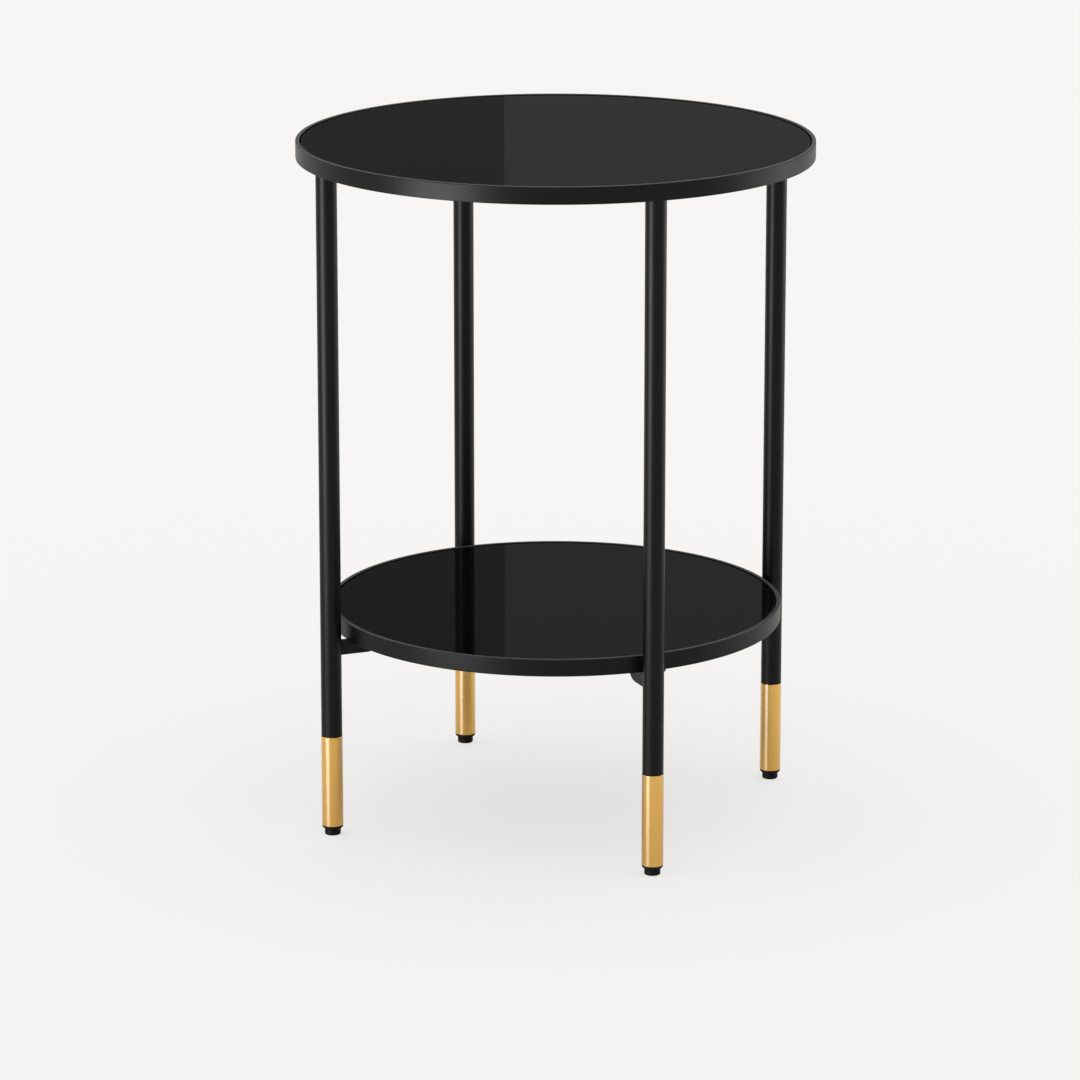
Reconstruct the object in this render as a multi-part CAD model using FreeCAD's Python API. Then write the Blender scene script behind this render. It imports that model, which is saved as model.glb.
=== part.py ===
# Round two-tier side table: a glass top and a smaller glass shelf in black steel rims,
# on four tube legs with gold sleeves and screw-in levelling feet.
# Millimetres, +Z up, origin on the floor at the middle of the table.
import FreeCAD, Part
import math
import os

# Overall sizes
TABLE_HEIGHT = 510.0
TOP_DIAMETER = 380.0
SHELF_HEIGHT = 162.0
SHELF_LEG_GAP = 3.5

# Steel rim of each tier: a rolled wall with a flat ledge inside it that carries the glass
RIM_WALL = 3.0
RIM_SKIRT = 1.0
RIM_EDGE_RADIUS = 0.6
LEDGE_WIDTH = 26.0
LEDGE_THICKNESS = 3.0

# Glass panels, lying loose on soft bumpers
GLASS_THICKNESS = 6.0
GLASS_EDGE_GAP = 1.0
GLASS_RECESS = 0.7
GLASS_ARRIS = 0.6
BUMPER_HEIGHT = 2.0
BUMPER_DIAMETER = 9.0
BUMPER_EDGE_CHAMFER = 0.5
BUMPERS_BETWEEN_LEGS = 2

# Legs: round tube, swaged thinner where the gold sleeve goes over it
LEG_DIAMETER = 15.4
LEG_WALL = 1.2
LEG_RIM_GAP = 0.1
SWAGE_LENGTH = 4.0
SLEEVE_LENGTH = 68.7
SLEEVE_PROUD = 0.2
SLEEVE_WALL = 0.6
SLEEVE_EDGE_CHAMFER = 0.25
LEG_PLACES = ("front_left", "front_right", "back_right", "back_left")
FIRST_LEG_ANGLE = 225.0

# Threaded bush welded into the top of each leg, and the bolt that holds the leg to the rim
BUSH_LENGTH = 16.0
LEG_BOLT_DIAMETER = 6.0
LEG_BOLT_LENGTH = 18.0
LEG_BOLT_HEAD_DIAMETER = 11.6
LEG_BOLT_KEY = 4.0

# Bracket welded to each leg: an upright web, and a flange that is screwed under the shelf's ledge
BRACKET_THICKNESS = 4.0
BRACKET_DEPTH = 12.0
BRACKET_RIM_GAP = 1.0
FLANGE_WIDTH = 18.0
FLANGE_SETBACK = 3.0
FLANGE_CORNER_RADIUS = 4.0
FLANGE_WELD_RADIUS = 2.0
SHELF_SCREW_DIAMETER = 5.0
SHELF_SCREW_LENGTH = 10.0
SHELF_SCREW_HEAD_DIAMETER = 9.6
SHELF_SCREW_KEY = 3.0

# Moulded socket in the bottom of each leg, and the levelling foot that screws into it
FOOT_HEAD_HEIGHT = 4.6
FOOT_HEAD_DIAMETER = 11.8
FOOT_EDGE_RADIUS = 0.9
FOOT_SEAT_GAP = 0.2
SOCKET_FLANGE_THICKNESS = 2.6
SOCKET_FLANGE_INSET = 0.2
SOCKET_FLANGE_TAPER = 1.2
SOCKET_LENGTH = 18.0
SOCKET_FIN_COUNT = 4
SOCKET_FIN_THICKNESS = 1.2
SOCKET_FIN_DEPTH = 0.9
STUD_DIAMETER = 6.0
STUD_LENGTH = 20.0
STUD_DEPTH_IN_HEAD = 3.0

# Radial clearances: a fixed fit, and the running fit of the levelling thread
FIT = 0.05
THREAD_CLEARANCE = 0.1

FULL_TURN = 360.0
HEXAGON = 6

# Worked out from the sizes above
LEG_PITCH = FULL_TURN / len(LEG_PLACES)
LEG_ANGLES = {place: FIRST_LEG_ANGLE + index * LEG_PITCH for index, place in enumerate(LEG_PLACES)}
LEG_RADIUS = LEG_DIAMETER / 2
LEG_CIRCLE = TOP_DIAMETER / 2 - RIM_WALL - LEG_RIM_GAP - LEG_RADIUS
SLEEVE_BOTTOM = FOOT_HEAD_HEIGHT + FOOT_SEAT_GAP + SOCKET_FLANGE_THICKNESS
SLEEVE_TOP = SLEEVE_BOTTOM + SLEEVE_LENGTH
SLEEVE_RADIUS = LEG_RADIUS + SLEEVE_PROUD
SLEEVE_BORE_RADIUS = SLEEVE_RADIUS - SLEEVE_WALL
NECK_RADIUS = SLEEVE_BORE_RADIUS - FIT
NECK_BORE_RADIUS = NECK_RADIUS - LEG_WALL
LEG_BORE_RADIUS = LEG_RADIUS - LEG_WALL
TOP_RADIUS = TOP_DIAMETER / 2
SHELF_RADIUS = LEG_CIRCLE - LEG_RADIUS - SHELF_LEG_GAP

ORIGIN = FreeCAD.Vector(0, 0, 0)
UP = FreeCAD.Vector(0, 0, 1)
CUT_MARGIN = 1.0
SAME_PLACE = 0.001


class Tier:
    """Radii and heights of one rim and its glass, worked inwards and down from the rim's top edge."""

    def __init__(self, outer_radius, rim_top):
        self.rim_top = rim_top
        self.outer_radius = outer_radius
        self.inner_radius = self.outer_radius - RIM_WALL
        self.ledge_radius = self.inner_radius - LEDGE_WIDTH
        self.glass_radius = self.inner_radius - GLASS_EDGE_GAP
        self.glass_top = rim_top - GLASS_RECESS
        self.glass_bottom = self.glass_top - GLASS_THICKNESS
        self.ledge_top = self.glass_bottom - BUMPER_HEIGHT
        self.ledge_bottom = self.ledge_top - LEDGE_THICKNESS
        self.rim_bottom = self.ledge_bottom - RIM_SKIRT


TOP = Tier(TOP_RADIUS, TABLE_HEIGHT)
SHELF = Tier(SHELF_RADIUS, SHELF_HEIGHT)

# The bracket's own places, along the leg's radius: inwards is negative X from the leg's axis
BRACKET_BOTTOM = SHELF.rim_bottom - BRACKET_DEPTH
BRACKET_STEP_X = SHELF.inner_radius - BRACKET_RIM_GAP - LEG_CIRCLE
BRACKET_NOSE_X = SHELF.ledge_radius - LEG_CIRCLE
SHELF_SCREW_X = (BRACKET_STEP_X + BRACKET_NOSE_X) / 2
SHELF_SCREW_Y = (FLANGE_WIDTH + BRACKET_THICKNESS / 2) / 2


def turned(profile):
    """A solid turned about Z from the corners of its half section, given as (radius, height)."""
    corners = [FreeCAD.Vector(radius, 0, height) for radius, height in profile]
    outline = Part.makePolygon(corners + corners[:1])
    return Part.Face(outline).revolve(ORIGIN, UP, FULL_TURN)


def round_edges(solid, height, radii, size):
    """The solid with its circular edges at one height and at the given radii rounded to a size."""
    chosen = [
        edge
        for edge in solid.Edges
        if isinstance(edge.Curve, Part.Circle)
        and abs(edge.Curve.Center.z - height) < SAME_PLACE
        and any(abs(edge.Curve.Radius - radius) < SAME_PLACE for radius in radii)
    ]
    return solid.makeFillet(size, chosen)


def on_leg(shape, angle):
    """A copy of a shape drawn about a leg's own axis, moved out to the leg at that angle."""
    placed = shape.copy()
    placed.translate(FreeCAD.Vector(LEG_CIRCLE, 0, 0))
    placed.rotate(ORIGIN, UP, angle)
    return placed


def on_every_leg(shape):
    """Copies of a shape drawn about a leg's axis, one for each leg."""
    return [on_leg(shape, angle) for angle in LEG_ANGLES.values()]


def countersunk(diameter, head_diameter, length, head_top, grow=0.0):
    """A countersunk screw's envelope about Z, its radii grown by a clearance to make the matching cut."""
    shank = diameter / 2 + grow
    head = head_diameter / 2 + grow
    cone_height = head - shank
    return turned(
        [
            (0, head_top - length),
            (shank, head_top - length),
            (shank, head_top - cone_height),
            (head, head_top),
            (0, head_top),
        ]
    )


def screw(diameter, head_diameter, length, key, head_top):
    """A countersunk socket screw about Z with its head's top at a height."""
    body = countersunk(diameter, head_diameter, length, head_top)
    socket_depth = (head_diameter - diameter) / 2
    corner_radius = key / 2 / math.cos(math.pi / HEXAGON)
    corners = [
        FreeCAD.Vector(
            corner_radius * math.cos(2 * math.pi * index / HEXAGON),
            corner_radius * math.sin(2 * math.pi * index / HEXAGON),
            head_top - socket_depth,
        )
        for index in range(HEXAGON)
    ]
    socket = Part.Face(Part.makePolygon(corners + corners[:1])).extrude(UP * (socket_depth + CUT_MARGIN))
    return body.cut(socket)


def rim(tier, hole):
    """A tier's steel rim: the wall, its ledge, and a countersunk hole in the ledge for each leg."""
    blank = turned(
        [
            (tier.outer_radius, tier.rim_bottom),
            (tier.outer_radius, tier.rim_top),
            (tier.inner_radius, tier.rim_top),
            (tier.inner_radius, tier.ledge_top),
            (tier.ledge_radius, tier.ledge_top),
            (tier.ledge_radius, tier.ledge_bottom),
            (tier.inner_radius, tier.ledge_bottom),
            (tier.inner_radius, tier.rim_bottom),
        ]
    )
    blank = round_edges(blank, tier.rim_top, (tier.outer_radius, tier.inner_radius), RIM_EDGE_RADIUS)
    blank = round_edges(blank, tier.rim_bottom, (tier.outer_radius,), RIM_EDGE_RADIUS)
    return blank.cut(Part.makeCompound(on_every_leg(hole)))


def glass(tier):
    """A tier's round glass panel, with its top and bottom edges ground to a narrow arris."""
    panel = Part.makeCylinder(tier.glass_radius, GLASS_THICKNESS, FreeCAD.Vector(0, 0, tier.glass_bottom))
    rims = [edge for edge in panel.Edges if edge.isClosed() and isinstance(edge.Curve, Part.Circle)]
    return panel.makeChamfer(GLASS_ARRIS, rims)


def bumpers(tier):
    """Soft bumpers on a tier's ledge, spread evenly in the spaces between the legs."""
    seat_radius = tier.inner_radius - LEDGE_WIDTH / 2
    radius = BUMPER_DIAMETER / 2
    pad = turned(
        [
            (0, tier.ledge_top),
            (radius, tier.ledge_top),
            (radius, tier.glass_bottom - BUMPER_EDGE_CHAMFER),
            (radius - BUMPER_EDGE_CHAMFER, tier.glass_bottom),
            (0, tier.glass_bottom),
        ]
    )
    pad.translate(FreeCAD.Vector(seat_radius, 0, 0))
    step = LEG_PITCH / (BUMPERS_BETWEEN_LEGS + 1)
    copies = []
    for leg_angle in LEG_ANGLES.values():
        for index in range(BUMPERS_BETWEEN_LEGS):
            copy = pad.copy()
            copy.rotate(ORIGIN, UP, leg_angle + (index + 1) * step)
            copies.append(copy)
    return Part.makeCompound(copies)


def leg_tube():
    """The leg's tube, from the socket's flange up to the underside of the top ledge."""
    return turned(
        [
            (NECK_BORE_RADIUS, SLEEVE_BOTTOM),
            (NECK_RADIUS, SLEEVE_BOTTOM),
            (NECK_RADIUS, SLEEVE_TOP),
            (LEG_RADIUS, SLEEVE_TOP),
            (LEG_RADIUS, TOP.ledge_bottom),
            (LEG_BORE_RADIUS, TOP.ledge_bottom),
            (LEG_BORE_RADIUS, SLEEVE_TOP + SWAGE_LENGTH),
            (NECK_BORE_RADIUS, SLEEVE_TOP),
        ]
    )


def sleeve():
    """The gold sleeve over the leg's thinner end, with its two outer edges chamfered."""
    edge = SLEEVE_RADIUS - SLEEVE_EDGE_CHAMFER
    return turned(
        [
            (SLEEVE_BORE_RADIUS, SLEEVE_BOTTOM),
            (edge, SLEEVE_BOTTOM),
            (SLEEVE_RADIUS, SLEEVE_BOTTOM + SLEEVE_EDGE_CHAMFER),
            (SLEEVE_RADIUS, SLEEVE_TOP - SLEEVE_EDGE_CHAMFER),
            (edge, SLEEVE_TOP),
            (SLEEVE_BORE_RADIUS, SLEEVE_TOP),
        ]
    )


def bush():
    """The threaded bush in the top of a leg, its thread left plain."""
    radius = LEG_BORE_RADIUS - FIT
    hole = LEG_BOLT_DIAMETER / 2 + FIT
    bottom = TOP.ledge_bottom - BUSH_LENGTH
    return turned([(hole, bottom), (radius, bottom), (radius, TOP.ledge_bottom), (hole, TOP.ledge_bottom)])


def bracket(screw_hole):
    """The shelf bracket, about its leg's axis.

    The web is coped to the leg, runs in under the rim's skirt, steps up to the ledge and ends in a
    quarter-round nose. The flange lies on one side of it under the ledge, and takes the shelf's screw.
    """
    top = SHELF.ledge_bottom
    web_top = SHELF.rim_bottom - BRACKET_RIM_GAP
    nose_radius = top - BRACKET_BOTTOM
    half = BRACKET_THICKNESS / 2

    def at(x, z):
        return FreeCAD.Vector(x, -half, z)

    arc_start = at(BRACKET_NOSE_X + nose_radius, BRACKET_BOTTOM)
    arc_end = at(BRACKET_NOSE_X, top)
    bulge = nose_radius * (1 - math.sqrt(0.5))
    arc_middle = at(BRACKET_NOSE_X + bulge, BRACKET_BOTTOM + bulge)
    outline = Part.Wire(
        [
            Part.LineSegment(at(0, BRACKET_BOTTOM), arc_start).toShape(),
            Part.Arc(arc_start, arc_middle, arc_end).toShape(),
            Part.LineSegment(arc_end, at(BRACKET_STEP_X, top)).toShape(),
            Part.LineSegment(at(BRACKET_STEP_X, top), at(BRACKET_STEP_X, web_top)).toShape(),
            Part.LineSegment(at(BRACKET_STEP_X, web_top), at(0, web_top)).toShape(),
            Part.LineSegment(at(0, web_top), at(0, BRACKET_BOTTOM)).toShape(),
        ]
    )
    web = Part.Face(outline).extrude(FreeCAD.Vector(0, BRACKET_THICKNESS, 0))

    flange_bottom = top - BRACKET_THICKNESS
    flange_end = BRACKET_NOSE_X + FLANGE_SETBACK
    flange_length = BRACKET_STEP_X - flange_end
    flange = Part.makeBox(
        flange_length, FLANGE_WIDTH, BRACKET_THICKNESS, FreeCAD.Vector(flange_end, 0, flange_bottom)
    )
    free_corners = [
        edge
        for edge in flange.Edges
        if all(abs(vertex.Point.y - FLANGE_WIDTH) < SAME_PLACE for vertex in edge.Vertexes)
        and abs(edge.Vertexes[0].Point.z - edge.Vertexes[1].Point.z) > SAME_PLACE
    ]
    flange = flange.makeFillet(FLANGE_CORNER_RADIUS, free_corners)
    body = web.fuse(flange).removeSplitter()
    weld_edges = [
        edge
        for edge in body.Edges
        if all(abs(vertex.Point.y - half) < SAME_PLACE for vertex in edge.Vertexes)
        and all(abs(vertex.Point.z - flange_bottom) < SAME_PLACE for vertex in edge.Vertexes)
    ]
    body = body.makeFillet(FLANGE_WELD_RADIUS, weld_edges)
    leg = Part.makeCylinder(LEG_RADIUS, TABLE_HEIGHT)
    return body.cut(leg).cut(screw_hole)


def socket():
    """The moulded socket in a leg: a flange that tapers to the foot, and a bored plug with grip fins."""
    flange = SLEEVE_RADIUS - SOCKET_FLANGE_INSET
    fin = NECK_BORE_RADIUS - FIT
    core = fin - SOCKET_FIN_DEPTH
    bore = STUD_DIAMETER / 2 + THREAD_CLEARANCE
    bottom = SLEEVE_BOTTOM - SOCKET_FLANGE_THICKNESS
    top = SLEEVE_BOTTOM + SOCKET_LENGTH
    fin_pitch = SOCKET_LENGTH / SOCKET_FIN_COUNT
    outline = [
        (bore, bottom),
        (flange - SOCKET_FLANGE_TAPER, bottom),
        (flange, bottom + SOCKET_FLANGE_TAPER),
        (flange, SLEEVE_BOTTOM),
    ]
    for index in range(SOCKET_FIN_COUNT):
        fin_bottom = SLEEVE_BOTTOM + index * fin_pitch
        fin_top = fin_bottom + SOCKET_FIN_THICKNESS
        # A fin is square below and tapers above, so that the plug goes in easily and stays in
        outline += [(fin, fin_bottom), (fin, fin_top), (core, fin_top + SOCKET_FIN_DEPTH)]
        if index + 1 < SOCKET_FIN_COUNT:
            outline.append((core, fin_bottom + fin_pitch))
    outline += [(core, top), (bore, top)]
    return turned(outline)


def foot_head():
    """The levelling foot's moulded head, with a rounded floor edge and a blind hole for its stud."""
    radius = FOOT_HEAD_DIAMETER / 2
    hole = STUD_DIAMETER / 2 + FIT
    hole_floor = FOOT_HEAD_HEIGHT - STUD_DEPTH_IN_HEAD
    body = turned(
        [
            (0, 0),
            (radius, 0),
            (radius, FOOT_HEAD_HEIGHT),
            (hole, FOOT_HEAD_HEIGHT),
            (hole, hole_floor),
            (0, hole_floor),
        ]
    )
    return round_edges(body, 0, (radius,), FOOT_EDGE_RADIUS)


def foot_stud():
    """The levelling foot's steel stud, its thread left plain."""
    bottom = FOOT_HEAD_HEIGHT - STUD_DEPTH_IN_HEAD
    return Part.makeCylinder(STUD_DIAMETER / 2, STUD_LENGTH, FreeCAD.Vector(0, 0, bottom))


def shelf_screw_place(shape):
    """A shape about Z moved to the shelf screw's place beside the bracket's web, about the leg's axis."""
    placed = shape.copy()
    placed.translate(FreeCAD.Vector(SHELF_SCREW_X, SHELF_SCREW_Y, 0))
    return placed


def build():
    """Every node of the table, by name."""
    leg_bolt = screw(
        LEG_BOLT_DIAMETER, LEG_BOLT_HEAD_DIAMETER, LEG_BOLT_LENGTH, LEG_BOLT_KEY, TOP.ledge_top
    )
    leg_bolt_hole = countersunk(
        LEG_BOLT_DIAMETER, LEG_BOLT_HEAD_DIAMETER, LEG_BOLT_LENGTH, TOP.ledge_top, FIT
    )
    shelf_screw = shelf_screw_place(
        screw(
            SHELF_SCREW_DIAMETER,
            SHELF_SCREW_HEAD_DIAMETER,
            SHELF_SCREW_LENGTH,
            SHELF_SCREW_KEY,
            SHELF.ledge_top,
        )
    )
    shelf_screw_hole = shelf_screw_place(
        countersunk(
            SHELF_SCREW_DIAMETER, SHELF_SCREW_HEAD_DIAMETER, SHELF_SCREW_LENGTH, SHELF.ledge_top, FIT
        )
    )
    nodes = {
        "top_rim": rim(TOP, leg_bolt_hole),
        "top_glass": glass(TOP),
        "top_bumpers": bumpers(TOP),
        "leg_bolts": Part.makeCompound(on_every_leg(leg_bolt)),
        "shelf_rim": rim(SHELF, shelf_screw_hole),
        "shelf_glass": glass(SHELF),
        "shelf_bumpers": bumpers(SHELF),
        "shelf_screws": Part.makeCompound(on_every_leg(shelf_screw)),
    }
    leg_pieces = {
        "leg_tube": leg_tube(),
        "leg_bush": bush(),
        "shelf_bracket": bracket(shelf_screw_hole),
        "gold_sleeve": sleeve(),
        "foot_socket": socket(),
        "foot_head": foot_head(),
        "foot_stud": foot_stud(),
    }
    for place, angle in LEG_ANGLES.items():
        for piece, shape in leg_pieces.items():
            nodes[f"{piece}_{place}"] = on_leg(shape, angle)
    return nodes


os.makedirs("parts", exist_ok=True)
for name, shape in build().items():
    if not shape.isValid():
        raise ValueError(f"{name} is not a valid shape")
    shape.exportStep(f"parts/{name}.step")
    print(name, len(shape.Solids), "solids", round(shape.Volume, 1), "mm3")
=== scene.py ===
"""Looks of a round two-tier side table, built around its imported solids.

Lengths are metres, and names that end in _mm hold millimetres, which mm() turns into metres.
Places come from the frame's nodes, and the fields of each class are the sizes that the nodes' boxes
don't show.
"""
import logging
import math
from dataclasses import dataclass, replace
from enum import Enum
from typing import Any

import bpy
import numpy as np
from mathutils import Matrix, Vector


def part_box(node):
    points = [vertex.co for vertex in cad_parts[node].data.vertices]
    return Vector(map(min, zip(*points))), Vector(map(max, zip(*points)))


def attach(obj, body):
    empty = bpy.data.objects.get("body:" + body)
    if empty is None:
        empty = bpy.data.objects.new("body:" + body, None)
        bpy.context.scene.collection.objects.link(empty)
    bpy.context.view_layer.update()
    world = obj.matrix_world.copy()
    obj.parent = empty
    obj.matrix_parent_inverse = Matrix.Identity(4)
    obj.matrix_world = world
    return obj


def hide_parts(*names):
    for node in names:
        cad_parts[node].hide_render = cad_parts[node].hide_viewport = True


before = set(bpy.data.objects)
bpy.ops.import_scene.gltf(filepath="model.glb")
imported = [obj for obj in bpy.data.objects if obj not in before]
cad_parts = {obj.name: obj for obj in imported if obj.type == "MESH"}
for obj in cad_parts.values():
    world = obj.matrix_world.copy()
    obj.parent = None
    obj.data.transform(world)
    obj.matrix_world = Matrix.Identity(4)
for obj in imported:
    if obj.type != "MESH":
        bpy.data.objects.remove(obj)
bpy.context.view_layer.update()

LOG = logging.getLogger("side_table")
Array = np.ndarray
Corner = tuple[float, float]
Point = tuple[float, float, float]

# Points on a rounded corner, and columns in one turn by how wide the piece is
ARC_STEPS = 6
WIDE_SEGMENTS = 384
TUBE_SEGMENTS = 96
PAD_SEGMENTS = 48
BEAD_SEGMENTS = 16
SHARP_ANGLE = math.radians(40)
RIGHT_ANGLE_DEG = 90.0
# Numbers of the colour mix node's sockets, whose names are not unique
MIX_FACTOR, MIX_A, MIX_B, MIX_RESULT = 0, 6, 7, 2


class Place(Enum):
    """Where a leg stands, seen from the table's front."""

    FRONT_LEFT = "front_left"
    FRONT_RIGHT = "front_right"
    BACK_RIGHT = "back_right"
    BACK_LEFT = "back_left"


class Section(Enum):
    """How a profile ends: it closes on itself round a wall, or it is capped flat at both ends."""

    LOOP = "loop"
    CAPPED = "capped"


class Join(Enum):
    """How two solids are combined: metal taken away, or metal welded on."""

    DRILL = "DIFFERENCE"
    WELD = "UNION"


class Slot(Enum):
    """The record's material slots."""

    COAT = "black_powder_coat"
    GLASS = "black_glass"
    GOLD = "satin_gold"
    NYLON = "black_nylon"
    SILICONE = "clear_silicone"
    ZINC = "zinc_steel"


def mm(length: float) -> float:
    """A length in millimetres, in metres."""
    return length / 1000.0


def linear(colour: str) -> tuple[float, float, float, float]:
    """An sRGB hex colour as linear light.

    Args:
        colour: A hash sign and six hex digits.

    Returns:
        Red, green, blue and alpha.
    """
    knee, toe, offset, power = 0.04045, 12.92, 0.055, 2.4
    shares = np.array([int(colour[at : at + 2], 16) / 255.0 for at in (1, 3, 5)])
    light = np.where(shares <= knee, shares / toe, ((shares + offset) / (1 + offset)) ** power)
    return (*light.tolist(), 1.0)


def unit(vectors: Array) -> Array:
    """Vectors scaled to length one along their last axis."""
    return vectors / np.linalg.norm(vectors, axis=-1, keepdims=True)


@dataclass(frozen=True)
class Extent:
    """A node's box at rest."""

    low: Vector
    high: Vector

    @classmethod
    def of(cls, node: str) -> "Extent":
        """The box of the named node."""
        return cls(*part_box(node))

    @property
    def reach(self) -> float:
        """Furthest distance from the table's middle along X or Y."""
        return max(-self.low.x, self.high.x, -self.low.y, self.high.y)

    @property
    def half_width(self) -> float:
        """Half of the box's wider side in plan."""
        return max(self.high.x - self.low.x, self.high.y - self.low.y) / 2

    @property
    def middle(self) -> Vector:
        """The box's middle."""
        return (self.low + self.high) / 2

    @property
    def heading(self) -> float:
        """Angle of the box's middle about the table's axis, in radians."""
        return math.atan2(self.middle.y, self.middle.x)

    @property
    def circle(self) -> float:
        """Distance of the box's middle from the table's axis."""
        return math.hypot(self.middle.x, self.middle.y)


@dataclass(frozen=True)
class Surface:
    """A surface as whole arrays: points, four-sided faces with their UV corners, and flat end caps."""

    points: Array
    quads: Array
    quad_uv: Array
    caps: tuple[Array, ...] = ()

    def placed(self, radius: float, angle: float) -> "Surface":
        """The surface moved out along X and then turned about Z.

        Args:
            radius: How far it moves out from the table's middle.
            angle: How far it then turns, in radians.

        Returns:
            The moved copy: every point p becomes R(angle) (p + (radius, 0, 0)).
        """
        cos, sin = math.cos(angle), math.sin(angle)
        turn = np.array([[cos, -sin, 0.0], [sin, cos, 0.0], [0.0, 0.0, 1.0]])
        return replace(self, points=(self.points + [radius, 0.0, 0.0]) @ turn.T)

    def stood_up(self) -> "Surface":
        """The surface turned a quarter about X, so that a plan outline becomes an elevation."""
        x, y, z = self.points.T
        return replace(self, points=np.stack([x, -z, y], axis=-1))

    def shifted(self, x: float, y: float, z: float) -> "Surface":
        """The surface moved by an offset."""
        return replace(self, points=self.points + [x, y, z])

    def joined(self, *others: "Surface") -> "Surface":
        """This surface and others as one, each still a closed shell of its own.

        Args:
            others: The surfaces to add.

        Returns:
            One surface that holds them all.
        """
        parts = (self, *others)
        starts = np.cumsum([0] + [len(part.points) for part in parts[:-1]])
        return Surface(
            points=np.concatenate([part.points for part in parts]),
            quads=np.concatenate([part.quads + start for part, start in zip(parts, starts)]),
            quad_uv=np.concatenate([part.quad_uv for part in parts]),
            caps=tuple(cap + start for part, start in zip(parts, starts) for cap in part.caps),
        )

    def mesh(self, name: str) -> bpy.types.Mesh:
        """A mesh of the surface with its UV map.

        Args:
            name: The mesh's name.

        Returns:
            The new mesh; the caps' UV is their plan in metres.
        """
        made = bpy.data.meshes.new(name)
        made.from_pydata(self.points, [], self.quads.tolist() + [cap.tolist() for cap in self.caps])
        corners = [self.quad_uv.reshape(-1, 2)] + [self.points[cap, :2] for cap in self.caps]
        layer = made.uv_layers.new(name="UVMap")
        layer.data.foreach_set("uv", np.concatenate(corners).astype(np.float32).ravel())
        made.validate()
        return made


def from_grid(points: Array, section: Section) -> Surface:
    """The surface over a grid of points whose columns close on themselves.

    Face (i, j) joins points (i, j), (i, j + 1), (i + 1, j + 1) and (i + 1, j). U counts columns and
    V counts rows, both from 0 to 1.

    Args:
        points: Rows by columns by three; columns go round anticlockwise seen against the way that the
            rows go.
        section: Whether the rows close on themselves too, or the first and last row get a flat cap.

    Returns:
        The surface, with its faces outwards.
    """
    rows, columns = points.shape[:2]
    row_count = rows if section is Section.LOOP else rows - 1
    row, column = np.meshgrid(np.arange(row_count), np.arange(columns), indexing="ij")
    i = row.reshape(-1, 1) + np.array([0, 0, 1, 1])
    j = column.reshape(-1, 1) + np.array([0, 1, 1, 0])
    ring = np.arange(columns)
    caps = () if section is Section.LOOP else (ring[::-1], ring + (rows - 1) * columns)
    return Surface(
        points=points.reshape(-1, 3),
        quads=(i % rows) * columns + j % columns,
        quad_uv=np.stack([j / columns, i / row_count], axis=-1),
        caps=caps,
    )


def rounded(corners: list[Corner], radii: list[float], section: Section) -> Array:
    """A profile whose corners are arcs tangent to the corner's two sides.

    With u and w the unit vectors from a corner to its neighbours, at an angle 2h to each other, the
    arc's centre lies radius / sin(h) along their bisector, and its points turn evenly through pi - 2h
    from the foot on u to the foot on w.

    Args:
        corners: The profile's corners, anticlockwise round the metal.
        radii: The arc's radius at each rounded corner.
        section: A loop rounds every corner. A capped profile starts and ends on the axis, and those
            ends are left off.

    Returns:
        The points of all the arcs in order, which the straight sides join.
    """
    at = np.array(corners, float)
    before, after = np.roll(at, 1, axis=0), np.roll(at, -1, axis=0)
    if section is Section.CAPPED:
        before, at, after = before[1:-1], at[1:-1], after[1:-1]
    size = np.array(radii, float)[:, None]
    u, w = unit(before - at), unit(after - at)
    half = np.arccos(np.clip(np.sum(u * w, axis=1, keepdims=True), -1.0, 1.0)) / 2
    centre = at + unit(u + w) * size / np.sin(half)
    foot_u = at + u * size / np.tan(half) - centre
    foot_w = at + w * size / np.tan(half) - centre
    span = (np.pi - 2 * half)[:, None]
    share = np.linspace(0.0, 1.0, ARC_STEPS)[None, :, None]
    swing = np.sin((1 - share) * span) * foot_u[:, None] + np.sin(share * span) * foot_w[:, None]
    return (centre[:, None] + swing / np.sin(span)).reshape(-1, 2)


def lathe(corners: list[Corner], radii: list[float], section: Section, segments: int) -> Surface:
    """A half section with rounded corners, turned about Z.

    The point at turn t and profile place s is (r(s) cos t, r(s) sin t, z(s)).

    Args:
        corners: The section's corners as radius and height, anticlockwise round the metal.
        radii: The radius of each rounded corner. An empty list leaves every corner sharp.
        section: Whether the profile closes on itself or is capped at its ends.
        segments: How many columns one turn has.

    Returns:
        The turned surface.
    """
    profile = rounded(corners, radii, section) if radii else np.array(corners)
    turn = np.arange(segments) * (2 * np.pi / segments)
    radius, height = profile[:, :1], profile[:, 1:]
    around = [radius * np.cos(turn), radius * np.sin(turn), height + 0 * turn]
    return from_grid(np.stack(around, axis=-1), section)


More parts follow.
